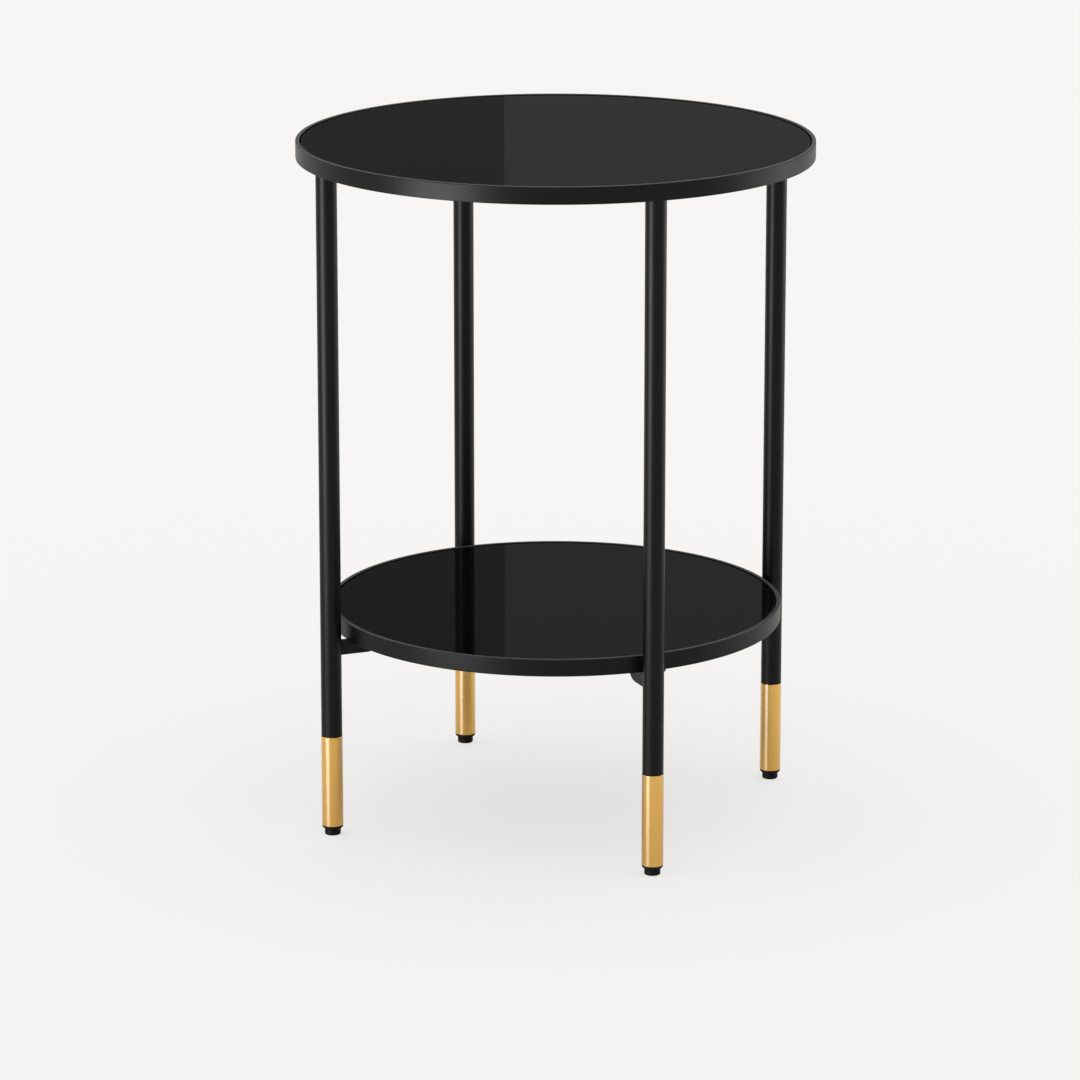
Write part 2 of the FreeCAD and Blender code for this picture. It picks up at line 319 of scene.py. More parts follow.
def plate(outline: Array, thickness: float, edge: float) -> Surface:
    """A flat plate with rounded edges.

    At angle q round an edge the outline is drawn in by edge (1 - cos q) along its mitre, and lies
    edge sin q past the start of the rounding.

    Args:
        outline: The plate's outline in plan, anticlockwise.
        thickness: The plate's thickness, half of it on each side of the plan.
        edge: Radius of the rounding along both edges.

    Returns:
        The plate's surface.
    """
    along = unit(np.roll(outline, -1, axis=0) - outline)
    outward = np.stack([along[:, 1], -along[:, 0]], axis=-1)
    behind = np.roll(outward, 1, axis=0)
    mitre = (outward + behind) / (1 + np.sum(outward * behind, axis=1, keepdims=True))
    quarter = np.linspace(0.0, np.pi / 2, ARC_STEPS)
    angle = np.concatenate([quarter[::-1] * -1, quarter])
    start = np.concatenate([np.full(ARC_STEPS, -1.0), np.full(ARC_STEPS, 1.0)]) * (thickness / 2 - edge)
    inset = edge * (1 - np.cos(angle))
    plan = outline[None] - inset[:, None, None] * mitre[None]
    height = np.broadcast_to((start + edge * np.sin(angle))[:, None, None], (*plan.shape[:2], 1))
    return from_grid(np.concatenate([plan, height], axis=-1), Section.CAPPED)


def weld_bead(start: Point, end: Point, radius: float) -> Surface:
    """A rippled weld bead along a straight seam.

    A round section is carried from start to end. At share s of the way its radius is
    radius (1 + depth cos(2 pi length s / pitch)) max(1 - (2s - 1)^8, least), so it ripples and thins out
    at both ends.

    Args:
        start: Where the bead begins.
        end: Where it ends.
        radius: Its radius between the ripples.

    Returns:
        The bead's surface.
    """
    ripple_depth = 0.06
    pitch = mm(1.1)
    rings_per_ripple = 6
    fewest_rings = 12
    end_power = 8
    least = 0.15
    off_the_seam = [0.6, 0.48, 0.64]
    first, last = np.array(start), np.array(end)
    length = float(np.linalg.norm(last - first))
    way = (last - first) / length
    side = unit(np.cross(way, off_the_seam))
    up = np.cross(way, side)
    share = np.linspace(0.0, 1.0, max(fewest_rings, int(rings_per_ripple * length / pitch)))
    ripple = 1 + ripple_depth * np.cos(2 * np.pi * length * share / pitch)
    size = radius * ripple * np.maximum(1 - (2 * share - 1) ** end_power, least)
    turn = np.arange(BEAD_SEGMENTS) * (2 * np.pi / BEAD_SEGMENTS)
    section = np.cos(turn)[:, None] * side + np.sin(turn)[:, None] * up
    points = first + share[:, None, None] * (last - first) + size[:, None, None] * section[None]
    return from_grid(points, Section.CAPPED)


def add_object(name: str, data: bpy.types.ID) -> bpy.types.Object:
    """Puts a new object into the scene, at the origin.

    Args:
        name: The object's name.
        data: Its mesh, light or camera.

    Returns:
        The new object.
    """
    made = bpy.data.objects.new(name, data)
    bpy.context.scene.collection.objects.link(made)
    return made


def combined(name: str, body: Surface, tool: Surface, join: Join) -> bpy.types.Mesh:
    """One mesh from a solid and a tool that drills it or is welded to it.

    Args:
        name: The mesh's name.
        body: The solid's surface.
        tool: The other surface, which may be several closed shells.
        join: Whether the tool takes metal away or adds it.

    Returns:
        The combined mesh.
    """
    shapes = {"body": body, "tool": tool}
    holders = [add_object(part, shape.mesh(part)) for part, shape in shapes.items()]
    cut = holders[0].modifiers.new("join", "BOOLEAN")
    cut.operation = join.value
    cut.object = holders[1]
    cut.solver = "EXACT"
    cut.use_self = join is Join.WELD
    shown = holders[0].evaluated_get(bpy.context.evaluated_depsgraph_get())
    made = bpy.data.meshes.new_from_object(shown)
    made.name = name
    spent = [holder.data for holder in holders]
    for holder in holders:
        bpy.data.objects.remove(holder)
    for mesh in spent:
        bpy.data.meshes.remove(mesh)
    return made


def add_piece(
    name: str, mesh: bpy.types.Mesh, finish: bpy.types.Material, body: str, nodes: list[str]
) -> None:
    """Puts a finished mesh into the scene as a piece that stands for its nodes.

    It is shaded smooth apart from its sharp edges, and its flats stay flat.

    Args:
        name: The piece's name.
        mesh: Its mesh, already in place.
        finish: Its material.
        body: The body that it rides on.
        nodes: The nodes that it replaces.
    """
    mesh.shade_smooth()
    mesh.set_sharp_from_angle(angle=SHARP_ANGLE)
    mesh.materials.clear()
    mesh.materials.append(finish)
    piece = add_object(name, mesh)
    flats = piece.modifiers.new("flat faces stay flat", "WEIGHTED_NORMAL")
    flats.keep_sharp = True
    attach(piece, body)
    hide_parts(*nodes)
    LOG.info("%s: %d faces, rides on %s", name, len(mesh.polygons), body)


def add_node(
    tree: bpy.types.NodeTree, kind: str, inputs: dict[str | int, Any] | None = None, **settings: Any
) -> bpy.types.bpy_prop_collection:
    """Adds one shader node with its links, values and settings.

    Args:
        tree: The tree that gets the node.
        kind: The node's type, without its leading ShaderNode.
        inputs: By the input's name or number, a socket to link from or a value to set.
        settings: Its properties by name.

    Returns:
        The new node's outputs.
    """
    node = tree.nodes.new(f"ShaderNode{kind}")
    for key, value in settings.items():
        setattr(node, key, value)
    for key, value in (inputs or {}).items():
        if isinstance(value, bpy.types.NodeSocket):
            tree.links.new(value, node.inputs[key])
        else:
            node.inputs[key].default_value = value
    return node.outputs


def empty_material(name: str) -> tuple[bpy.types.Material, bpy.types.NodeTree]:
    """A new material with an empty node tree.

    Args:
        name: The material's name.

    Returns:
        The material and its tree.
    """
    material = bpy.data.materials.new(name)
    material.use_nodes = True
    material.node_tree.nodes.clear()
    return material, material.node_tree


def mottled(
    tree: bpy.types.NodeTree, size_mm: float, tones: tuple[str, str], detail: float = 2.0
) -> tuple[bpy.types.NodeSocket, bpy.types.NodeSocket]:
    """A noise pattern of a real size, and a tone that follows it from one colour to another.

    Args:
        tree: The material's tree.
        size_mm: The pattern's size.
        tones: The colours at its two ends.
        detail: How many finer layers it has.

    Returns:
        The pattern and the tone.
    """
    place = add_node(tree, "TexCoord")["Object"]
    pattern = add_node(
        tree, "TexNoise", {"Vector": place, "Scale": 1 / mm(size_mm), "Detail": detail}
    )["Fac"]
    low, high = map(linear, tones)
    tone = add_node(
        tree, "Mix", {MIX_FACTOR: pattern, MIX_A: low, MIX_B: high}, data_type="RGBA"
    )[MIX_RESULT]
    return pattern, tone


@dataclass(frozen=True)
class PowderCoat:
    """Satin polyester powder coat, baked on steel.

    The eye sees a deep black with a broad soft gloss, broken by a shallow orange peel where the powder
    flowed. Faces that look up get a paler grey base colour, a painted highlight for the sheen they catch
    from above.
    """

    dark: str = "#0A0A0B"
    light: str = "#111112"
    least_roughness: float = 0.34
    most_roughness: float = 0.42
    specular_level: float = 0.14
    peel_mm: float = 1.6
    peel_depth_mm: float = 0.006
    peel_detail: float = 1.0
    patch_mm: float = 35.0
    patch_detail: float = 3.0
    # Paler grey painted on faces that look up: a painted highlight, not dust
    upward_sheen_tone: str = "#454546"
    sheen_from: float = 0.3
    sheen_full: float = 0.8

    def material(self) -> bpy.types.Material:
        """The coat as a material.

        Returns:
            The new material.
        """
        material, tree = empty_material("satin_polyester_powder_coat")
        coordinates = add_node(tree, "TexCoord")
        tones = (self.dark, self.light)
        patches, tone = mottled(tree, self.patch_mm, tones, self.patch_detail)
        peel = add_node(tree, "TexNoise", {
            "Vector": coordinates["Object"],
            "Scale": 1 / mm(self.peel_mm),
            "Detail": self.peel_detail,
        })["Fac"]
        # Painted highlight: faces that look up blend to a paler grey base colour
        upward = add_node(tree, "SeparateXYZ", {"Vector": coordinates["Normal"]})["Z"]
        painted_sheen = add_node(
            tree, "MapRange", {"Value": upward, "From Min": self.sheen_from, "From Max": self.sheen_full}
        )[0]
        tone = add_node(
            tree, "Mix", {MIX_FACTOR: painted_sheen, MIX_A: tone, MIX_B: linear(self.upward_sheen_tone)}, data_type="RGBA"
        )[MIX_RESULT]
        roughness = add_node(tree, "MapRange", {
            "Value": patches,
            "To Min": self.least_roughness,
            "To Max": self.most_roughness,
        })[0]
        relief = add_node(tree, "Bump", {"Height": peel, "Distance": mm(self.peel_depth_mm)})[0]
        shader = add_node(tree, "BsdfPrincipled", {
            "Base Color": tone,
            "Roughness": roughness,
            "Specular IOR Level": self.specular_level,
            "Normal": relief,
        })[0]
        add_node(tree, "OutputMaterial", {"Surface": shader})
        return material


@dataclass(frozen=True)
class BlackGlass:
    """Toughened float glass, painted black behind, with ground edges.

    The eye sees a black mirror that brightens towards grazing views, and a duller line round the
    ground arris.
    """

    colour: str = "#050506"
    ior: float = 1.5
    polished_roughness: float = 0.015
    polished_from: float = 0.99
    ground_roughness: float = 0.3
    ground_to: float = 0.9
    wave_mm: float = 120.0
    wave_depth_mm: float = 0.004
    wave_detail: float = 0.0

    def material(self) -> bpy.types.Material:
        """The glass as a material.

        Returns:
            The new material.
        """
        material, tree = empty_material("back_painted_float_glass")
        coordinates = add_node(tree, "TexCoord")
        facing = add_node(tree, "SeparateXYZ", {"Vector": coordinates["Normal"]})["Z"]
        flatness = add_node(tree, "Math", {0: facing}, operation="ABSOLUTE")[0]
        roughness = add_node(tree, "MapRange", {
            "Value": flatness,
            "From Min": self.ground_to,
            "From Max": self.polished_from,
            "To Min": self.ground_roughness,
            "To Max": self.polished_roughness,
        })[0]
        # Toughening leaves a slow wave in the sheet, drawn here at its real length
        wave = add_node(tree, "TexNoise", {
            "Vector": coordinates["Object"],
            "Scale": 1 / mm(self.wave_mm),
            "Detail": self.wave_detail,
        })["Fac"]
        relief = add_node(tree, "Bump", {"Height": wave, "Distance": mm(self.wave_depth_mm)})[0]
        shader = add_node(tree, "BsdfPrincipled", {
            "Base Color": linear(self.colour),
            "Roughness": roughness,
            "IOR": self.ior,
            "Normal": relief,
        })[0]
        add_node(tree, "OutputMaterial", {"Surface": shader})
        return material


@dataclass(frozen=True)
class GoldPlate:
    """Brass-toned nitride, deposited in vacuum on fine-turned steel tube, under a clear oxide film.

    The eye sees a warm yellow metal with a pale streak of gloss, crisp round the tube and drawn out along
    it, because the turned grooves run round it and the film follows their flanks.
    """

    colour: str = "#E1AE51"
    least_roughness: float = 0.15
    most_roughness: float = 0.19
    anisotropy: float = 0.5
    anisotropy_turn: float = 0.25
    film_roughness: float = 0.26
    film_ior: float = 1.46
    flank_slope: float = 0.13
    patch_mm: float = 9.0

    def material(self) -> bpy.types.Material:
        """The plate as a material.

        Returns:
            The new material.
        """
        material, tree = empty_material("brass_toned_nitride")
        place = add_node(tree, "TexCoord")["Object"]
        patches = add_node(tree, "TexNoise", {"Vector": place, "Scale": 1 / mm(self.patch_mm)})["Fac"]
        roughness = add_node(tree, "MapRange", {
            "Value": patches,
            "To Min": self.least_roughness,
            "To Max": self.most_roughness,
        })[0]
        # Turning leaves saw-toothed grooves, and the film lies on their long flanks, which lean up
        plain = add_node(tree, "NewGeometry")["Normal"]
        leaning = add_node(tree, "VectorMath", {0: plain, 1: (0.0, 0.0, self.flank_slope)})[0]
        grooved = add_node(tree, "VectorMath", {0: leaning}, operation="NORMALIZE")[0]
        along = add_node(tree, "Tangent", direction_type="UV_MAP", uv_map="UVMap")[0]
        shader = add_node(tree, "BsdfPrincipled", {
            "Base Color": linear(self.colour),
            "Metallic": 1.0,
            "Roughness": roughness,
            "Anisotropic": self.anisotropy,
            "Anisotropic Rotation": self.anisotropy_turn,
            "Tangent": along,
            "Coat Weight": 1.0,
            "Coat Roughness": self.film_roughness,
            "Coat IOR": self.film_ior,
            "Coat Normal": grooved,
        })[0]
        add_node(tree, "OutputMaterial", {"Surface": shader})
        return material


@dataclass(frozen=True)
class MouldedNylon:
    """Black nylon, moulded in a spark-eroded tool.

    The eye sees a dull black with a fine even grain.
    """

    dark: str = "#0A0B0B"
    light: str = "#121313"
    roughness: float = 0.5
    specular_level: float = 0.12
    grain_mm: float = 0.35
    grain_depth_mm: float = 0.012

    def material(self) -> bpy.types.Material:
        """The nylon as a material.

        Returns:
            The new material.
        """
        material, tree = empty_material("spark_grained_nylon")
        # The real grain is about 0.1 mm, too fine to show, so it is drawn coarser
        grain, tone = mottled(tree, self.grain_mm, (self.dark, self.light))
        relief = add_node(tree, "Bump", {"Height": grain, "Distance": mm(self.grain_depth_mm)})[0]
        shader = add_node(tree, "BsdfPrincipled", {
            "Base Color": tone,
            "Roughness": self.roughness,
            "Specular IOR Level": self.specular_level,
            "Normal": relief,
        })[0]
        add_node(tree, "OutputMaterial", {"Surface": shader})
        return material


@dataclass(frozen=True)
class SiliconeRubber:
    """Clear silicone rubber, moulded.

    The eye sees a milky, slightly see-through pad with a soft gloss.
    """

    clear: str = "#E9E8E2"
    milky: str = "#D3D2CB"
    transmission: float = 0.4
    roughness: float = 0.35
    ior: float = 1.41
    cloud_mm: float = 4.0

    def material(self) -> bpy.types.Material:
        """The rubber as a material.

        Returns:
            The new material.
        """
        material, tree = empty_material("moulded_silicone_rubber")
        _, tone = mottled(tree, self.cloud_mm, (self.clear, self.milky))
        shader = add_node(tree, "BsdfPrincipled", {
            "Base Color": tone,
            "Transmission Weight": self.transmission,
            "Roughness": self.roughness,
            "IOR": self.ior,
        })[0]
        add_node(tree, "OutputMaterial", {"Surface": shader})
        return material


@dataclass(frozen=True)
class ZincPlate:
    """Bright zinc-plated steel, barrel plated and passivated.

    The eye sees a cool grey metal with a faintly mottled gloss.
    """

    bright: str = "#C3C6C9"
    dull: str = "#A3A6A8"
    least_roughness: float = 0.26
    most_roughness: float = 0.42
    mottle_mm: float = 1.2
    mottle_detail: float = 3.0

    def material(self) -> bpy.types.Material:
        """The plate as a material.

        Returns:
            The new material.
        """
        material, tree = empty_material("zinc_plated_steel")
        tones = (self.bright, self.dull)
        mottle, tone = mottled(tree, self.mottle_mm, tones, self.mottle_detail)
        roughness = add_node(tree, "MapRange", {
            "Value": mottle,
            "To Min": self.least_roughness,
            "To Max": self.most_roughness,
        })[0]
        shader = add_node(
            tree, "BsdfPrincipled", {"Base Color": tone, "Metallic": 1.0, "Roughness": roughness}
        )[0]
        add_node(tree, "OutputMaterial", {"Surface": shader})
        return material


class Finishes:
    """Every finish of the table as a material, made once."""

    def __init__(self) -> None:
        """Makes the materials."""
        self.coat = PowderCoat().material()
        self.glass = BlackGlass().material()
        self.gold = GoldPlate().material()
        self.nylon = MouldedNylon().material()
        self.silicone = SiliconeRubber().material()
        self.zinc = ZincPlate().material()


@dataclass(frozen=True)
class ScrewHole:
    """A countersunk hole in a ledge: its radii, and where it lies from a leg's axis."""

    shank_mm: float
    head_mm: float
    inward_mm: float
    aside_mm: float

    def cutter(self, ledge_top: float, ledge_bottom: float) -> Surface:
        """The hole's cutter about Z: a shank through the ledge and a cone that opens to its top.

        Args:
            ledge_top: Height of the ledge's upper face.
            ledge_bottom: Height of its lower face.

        Returns:
            The cutter's surface, past both faces.
        """
        past = mm(1.0)
        cone = mm(self.head_mm - self.shank_mm)
        corners = [
            (mm(self.shank_mm), ledge_bottom - past),
            (mm(self.shank_mm), ledge_top - cone),
            (mm(self.head_mm), ledge_top),
            (mm(self.head_mm), ledge_top + past),
        ]
        return lathe(corners, [], Section.CAPPED, PAD_SEGMENTS)


@dataclass
class Tier:
    """One tier: a steel rim with a ledge inside, a glass panel, and the pads that the panel lies on."""

    name: str
    hole: ScrewHole
    wall_mm: float = 3.0
    ledge_width_mm: float = 26.0
    ledge_thickness_mm: float = 3.0
    edge_mm: float = 0.6
    small_edge_mm: float = 0.3
    arris_mm: float = 0.6
    arris_edge_mm: float = 0.12
    pad_mm: float = 9.0
    pad_edge_mm: float = 0.5
    pads_between_legs: int = 2

    def __post_init__(self) -> None:
        """Reads the tier's places from the frame."""
        rim, glass = Extent.of(f"{self.name}_rim"), Extent.of(f"{self.name}_glass")
        self.outer = rim.reach
        self.inner = rim.reach - mm(self.wall_mm)
        self.ledge_inner = self.inner - mm(self.ledge_width_mm)
        self.rim_bottom, self.rim_top = rim.low.z, rim.high.z
        self.ledge_top = Extent.of(f"{self.name}_bumpers").low.z
        self.ledge_bottom = self.ledge_top - mm(self.ledge_thickness_mm)
        self.glass_radius = glass.reach
        self.glass_bottom, self.glass_top = glass.low.z, glass.high.z
        legs = [Extent.of(f"leg_tube_{place.value}") for place in Place]
        self.leg_angles = np.array([leg.heading for leg in legs])
        self.leg_circle = float(np.mean([leg.circle for leg in legs]))

    def rim(self) -> bpy.types.Mesh:
        """The rim: its section turned about the table's middle, with a countersunk hole near each leg.

        Returns:
            The new mesh.
        """
        edge, small = mm(self.edge_mm), mm(self.small_edge_mm)
        corners = [
            (self.outer, self.rim_bottom),
            (self.outer, self.rim_top),
            (self.inner, self.rim_top),
            (self.inner, self.ledge_top),
            (self.ledge_inner, self.ledge_top),
            (self.ledge_inner, self.ledge_bottom),
            (self.inner, self.ledge_bottom),
            (self.inner, self.rim_bottom),
        ]
        radii = [edge, edge, edge, small, small, small, small, small]
        ring = lathe(corners, radii, Section.LOOP, WIDE_SEGMENTS)
        cutter = self.hole.cutter(self.ledge_top, self.ledge_bottom)
        cutter = cutter.shifted(-mm(self.hole.inward_mm), mm(self.hole.aside_mm), 0.0)
        drills = [cutter.placed(self.leg_circle, angle) for angle in self.leg_angles]
        return combined(f"{self.name}_hoop", ring, drills[0].joined(*drills[1:]), Join.DRILL)

    def glass(self) -> bpy.types.Mesh:
        """The glass panel: a disc whose two edges are ground to a narrow bevel.

        Returns:
            The new mesh.
        """
        arris = mm(self.arris_mm)
        inside = self.glass_radius - arris
        corners = [
            (0.0, self.glass_bottom),
            (inside, self.glass_bottom),
            (self.glass_radius, self.glass_bottom + arris),
            (self.glass_radius, self.glass_top - arris),
            (inside, self.glass_top),
            (0.0, self.glass_top),
        ]
        radii = [mm(self.arris_edge_mm)] * (len(corners) - 2)
        return lathe(corners, radii, Section.CAPPED, WIDE_SEGMENTS).mesh(f"{self.name}_panel")

    def pads(self) -> bpy.types.Mesh:
        """The soft pads: one rounded disc, repeated evenly between the legs.

        Returns:
            The new mesh.
        """
        radius = mm(self.pad_mm) / 2
        low, high = self.ledge_top, self.glass_bottom
        corners = [(0.0, low), (radius, low), (radius, high), (0.0, high)]
        radii = [mm(self.pad_edge_mm) / 2, mm(self.pad_edge_mm)]
        pad = lathe(corners, radii, Section.CAPPED, PAD_SEGMENTS)
        step = 2 * np.pi / len(self.leg_angles) / (self.pads_between_legs + 1)
        turns = self.leg_angles[:, None] + step * np.arange(1, self.pads_between_legs + 1)
        seat = (self.inner + self.ledge_inner) / 2
        copies = [pad.placed(seat, turn) for turn in turns.ravel()]
        return copies[0].joined(*copies[1:]).mesh(f"{self.name}_pads")

    def build(self, finishes: Finishes) -> None:
        """Makes the tier's pieces and dresses them.

        Args:
            finishes: The table's materials.
        """
        name = self.name
        for piece, mesh, finish, slot, body, node in (
            ("hoop", self.rim(), finishes.coat, Slot.COAT, "frame", "rim"),
            ("panel", self.glass(), finishes.glass, Slot.GLASS, f"{name}_glass", "glass"),
            ("pads", self.pads(), finishes.silicone, Slot.SILICONE, "frame", "bumpers"),
        ):
            add_piece(f"{name}_{piece}", mesh, finish, body, [f"{name}_{node}"])


@dataclass
class Leg:
    """One leg: its tube, the gold sleeve on its swaged end, its moulded socket and its shelf bracket."""

    place: Place
    tube_wall_mm: float = 1.2
    tube_edge_mm: float = 0.35
    swage_mm: float = 4.0
    sleeve_wall_mm: float = 0.6
    sleeve_edge_mm: float = 0.25
    small_edge_mm: float = 0.1
    fit_mm: float = 0.05
    collar_mm: float = 2.6
    collar_taper_mm: float = 1.2
    collar_edge_mm: float = 0.2
    socket_bore_mm: float = 3.1
    fin_count: int = 4
    fin_thickness_mm: float = 1.2
    fin_depth_mm: float = 0.9
    bracket_mm: float = 4.0
    bracket_edge_mm: float = 0.3
    bracket_corner_mm: float = 0.6
    bracket_rim_gap_mm: float = 1.0
    weld_into_tube_mm: float = 0.6
    flange_mm: float = 18.0
    flange_setback_mm: float = 3.0
    flange_corner_mm: float = 4.0
    leg_bead_mm: float = 1.5
    flange_bead_mm: float = 1.7

    def __post_init__(self) -> None:
        """Reads the leg's places from the frame."""
        self.tube_box = Extent.of(self.node("leg_tube"))
        self.sleeve_box = Extent.of(self.node("gold_sleeve"))
        self.socket_box = Extent.of(self.node("foot_socket"))
        self.bracket_box = Extent.of(self.node("shelf_bracket"))
        self.angle, self.circle = self.tube_box.heading, self.tube_box.circle
        self.radius = self.tube_box.half_width
        self.bore = self.radius - mm(self.tube_wall_mm)
        self.sleeve_bore = self.sleeve_box.half_width - mm(self.sleeve_wall_mm)
        self.neck = self.sleeve_bore - mm(self.fit_mm)
        self.neck_bore = self.neck - mm(self.tube_wall_mm)

    def node(self, piece: str) -> str:
        """The name of this leg's node for a piece."""
        return f"{piece}_{self.place.value}"

    def on_leg(self, surface: Surface) -> Surface:
        """A surface drawn about the leg's axis, moved to the leg, with its own inward side inwards."""
        return surface.placed(self.circle, self.angle)

    def tube(self) -> bpy.types.Mesh:
        """The tube: a ring section turned about the leg's axis, stepped in where the sleeve goes on.

        Returns:
            The new mesh.
        """
        bottom, top = self.tube_box.low.z, self.tube_box.high.z
        shoulder = self.sleeve_box.high.z
        edge, small = mm(self.tube_edge_mm), mm(self.small_edge_mm)
        corners = [
            (self.neck_bore, bottom),
            (self.neck, bottom),
            (self.neck, shoulder),
            (self.radius, shoulder),
            (self.radius, top),
            (self.bore, top),
            (self.bore, shoulder + mm(self.swage_mm)),
            (self.neck_bore, shoulder),
        ]
        radii = [small, small, small, edge, small, small, edge, edge]
        return self.on_leg(lathe(corners, radii, Section.LOOP, TUBE_SEGMENTS)).mesh(self.node("tube"))

    def sleeve(self) -> bpy.types.Mesh:
        """The gold sleeve: a thin ring section turned about the leg's axis, its outer edges eased.

        Returns:
            The new mesh.
        """
        edge, small = mm(self.sleeve_edge_mm), mm(self.small_edge_mm)
        bottom, top = self.sleeve_box.low.z, self.sleeve_box.high.z
        outer = self.sleeve_box.half_width
        corners = [(self.sleeve_bore, bottom), (outer, bottom), (outer, top), (self.sleeve_bore, top)]
        radii = [small, edge, edge, small]
        return self.on_leg(lathe(corners, radii, Section.LOOP, TUBE_SEGMENTS)).mesh(self.node("sleeve"))

    def socket(self) -> bpy.types.Mesh:
        """The moulded socket, turned: a collar that tapers to the foot, and a bored plug with grip fins.

        Returns:
            The new mesh.
        """
        bottom, top = self.socket_box.low.z, self.socket_box.high.z
        collar_top = bottom + mm(self.collar_mm)
        collar, bore = self.socket_box.half_width, mm(self.socket_bore_mm)
        depth = mm(self.fin_depth_mm)
        fin = self.neck_bore - mm(self.fit_mm)
        core = fin - depth
        pitch = (top - collar_top) / self.fin_count
        taper, edge, small = mm(self.collar_taper_mm), mm(self.collar_edge_mm), mm(self.small_edge_mm)
        corners = [(bore, bottom), (collar - taper, bottom), (collar, bottom + taper)]
        for index in range(self.fin_count):
            foot = collar_top + index * pitch
            shoulder = foot + mm(self.fin_thickness_mm)
            inside = core if index else collar
            corners += [(inside, foot), (fin, foot), (fin, shoulder), (core, shoulder + depth)]
        corners += [(core, top), (bore, top)]
        radii = [small, edge, edge] + [small] * (len(corners) - 3)
        return self.on_leg(lathe(corners, radii, Section.LOOP, TUBE_SEGMENTS)).mesh(self.node("collar"))

    def bracket(self, shelf: Tier) -> bpy.types.Mesh:
        """The shelf bracket: an upright web with a quarter-round nose, a flange, and its weld beads.

        Args:
            shelf: The tier that the bracket carries.

        Returns:
            The bracket's mesh, welded into one.
        """
        thickness, edge = mm(self.bracket_mm), mm(self.bracket_edge_mm)
        bottom, top = self.bracket_box.low.z, shelf.ledge_bottom
        web_top = shelf.rim_bottom - mm(self.bracket_rim_gap_mm)
        step_x = shelf.inner - mm(self.bracket_rim_gap_mm) - self.circle
        nose_x = shelf.ledge_inner - self.circle
        tube_x = mm(self.weld_into_tube_mm) - self.radius
        corners = [
            (nose_x, bottom),
            (tube_x, bottom),
            (tube_x, web_top),
            (step_x, web_top),
            (step_x, top),
            (nose_x, top),
        ]
        small = mm(self.bracket_corner_mm)
        nose = top - bottom - 2 * small
        radii = [nose] + [small] * (len(corners) - 1)
        web = plate(rounded(corners, radii, Section.LOOP), thickness, edge).stood_up()

        flange_x, flange_y = nose_x + mm(self.flange_setback_mm), mm(self.flange_mm)
        corner = mm(self.flange_corner_mm)
        plan = [(flange_x, 0.0), (step_x, 0.0), (step_x, flange_y), (flange_x, flange_y)]
        outline = rounded(plan, [small, small, corner, corner], Section.LOOP)
        flange = plate(outline, thickness, edge).shifted(0.0, 0.0, top - thickness / 2)

        bead_z = top - thickness
        flange_bead = weld_bead(
            (flange_x, thickness / 2, bead_z), (step_x, thickness / 2, bead_z), mm(self.flange_bead_mm)
        )
        seam_x = -math.sqrt(self.radius**2 - (thickness / 2) ** 2)
        leg_beads = [
            weld_bead((seam_x, side, bottom), (seam_x, side, web_top), mm(self.leg_bead_mm))
            for side in (-thickness / 2, thickness / 2)
        ]
        added = self.on_leg(flange.joined(flange_bead, *leg_beads))
        return combined(self.node("bracket"), self.on_leg(web), added, Join.WELD)

    def build(self, finishes: Finishes, shelf: Tier) -> None:
        """Makes the leg's pieces and dresses them.

        Args:
            finishes: The table's materials.
            shelf: The tier that the leg's bracket carries.
        """
        for piece, mesh, finish, slot, node in (
            ("tube", self.tube(), finishes.coat, Slot.COAT, "leg_tube"),
            ("sleeve", self.sleeve(), finishes.gold, Slot.GOLD, "gold_sleeve"),
            ("collar", self.socket(), finishes.nylon, Slot.NYLON, "foot_socket"),
            ("bracket", self.bracket(shelf), finishes.coat, Slot.COAT, "shelf_bracket"),
        ):
            add_piece(self.node(piece), mesh, finish, "frame", [self.node(node)])


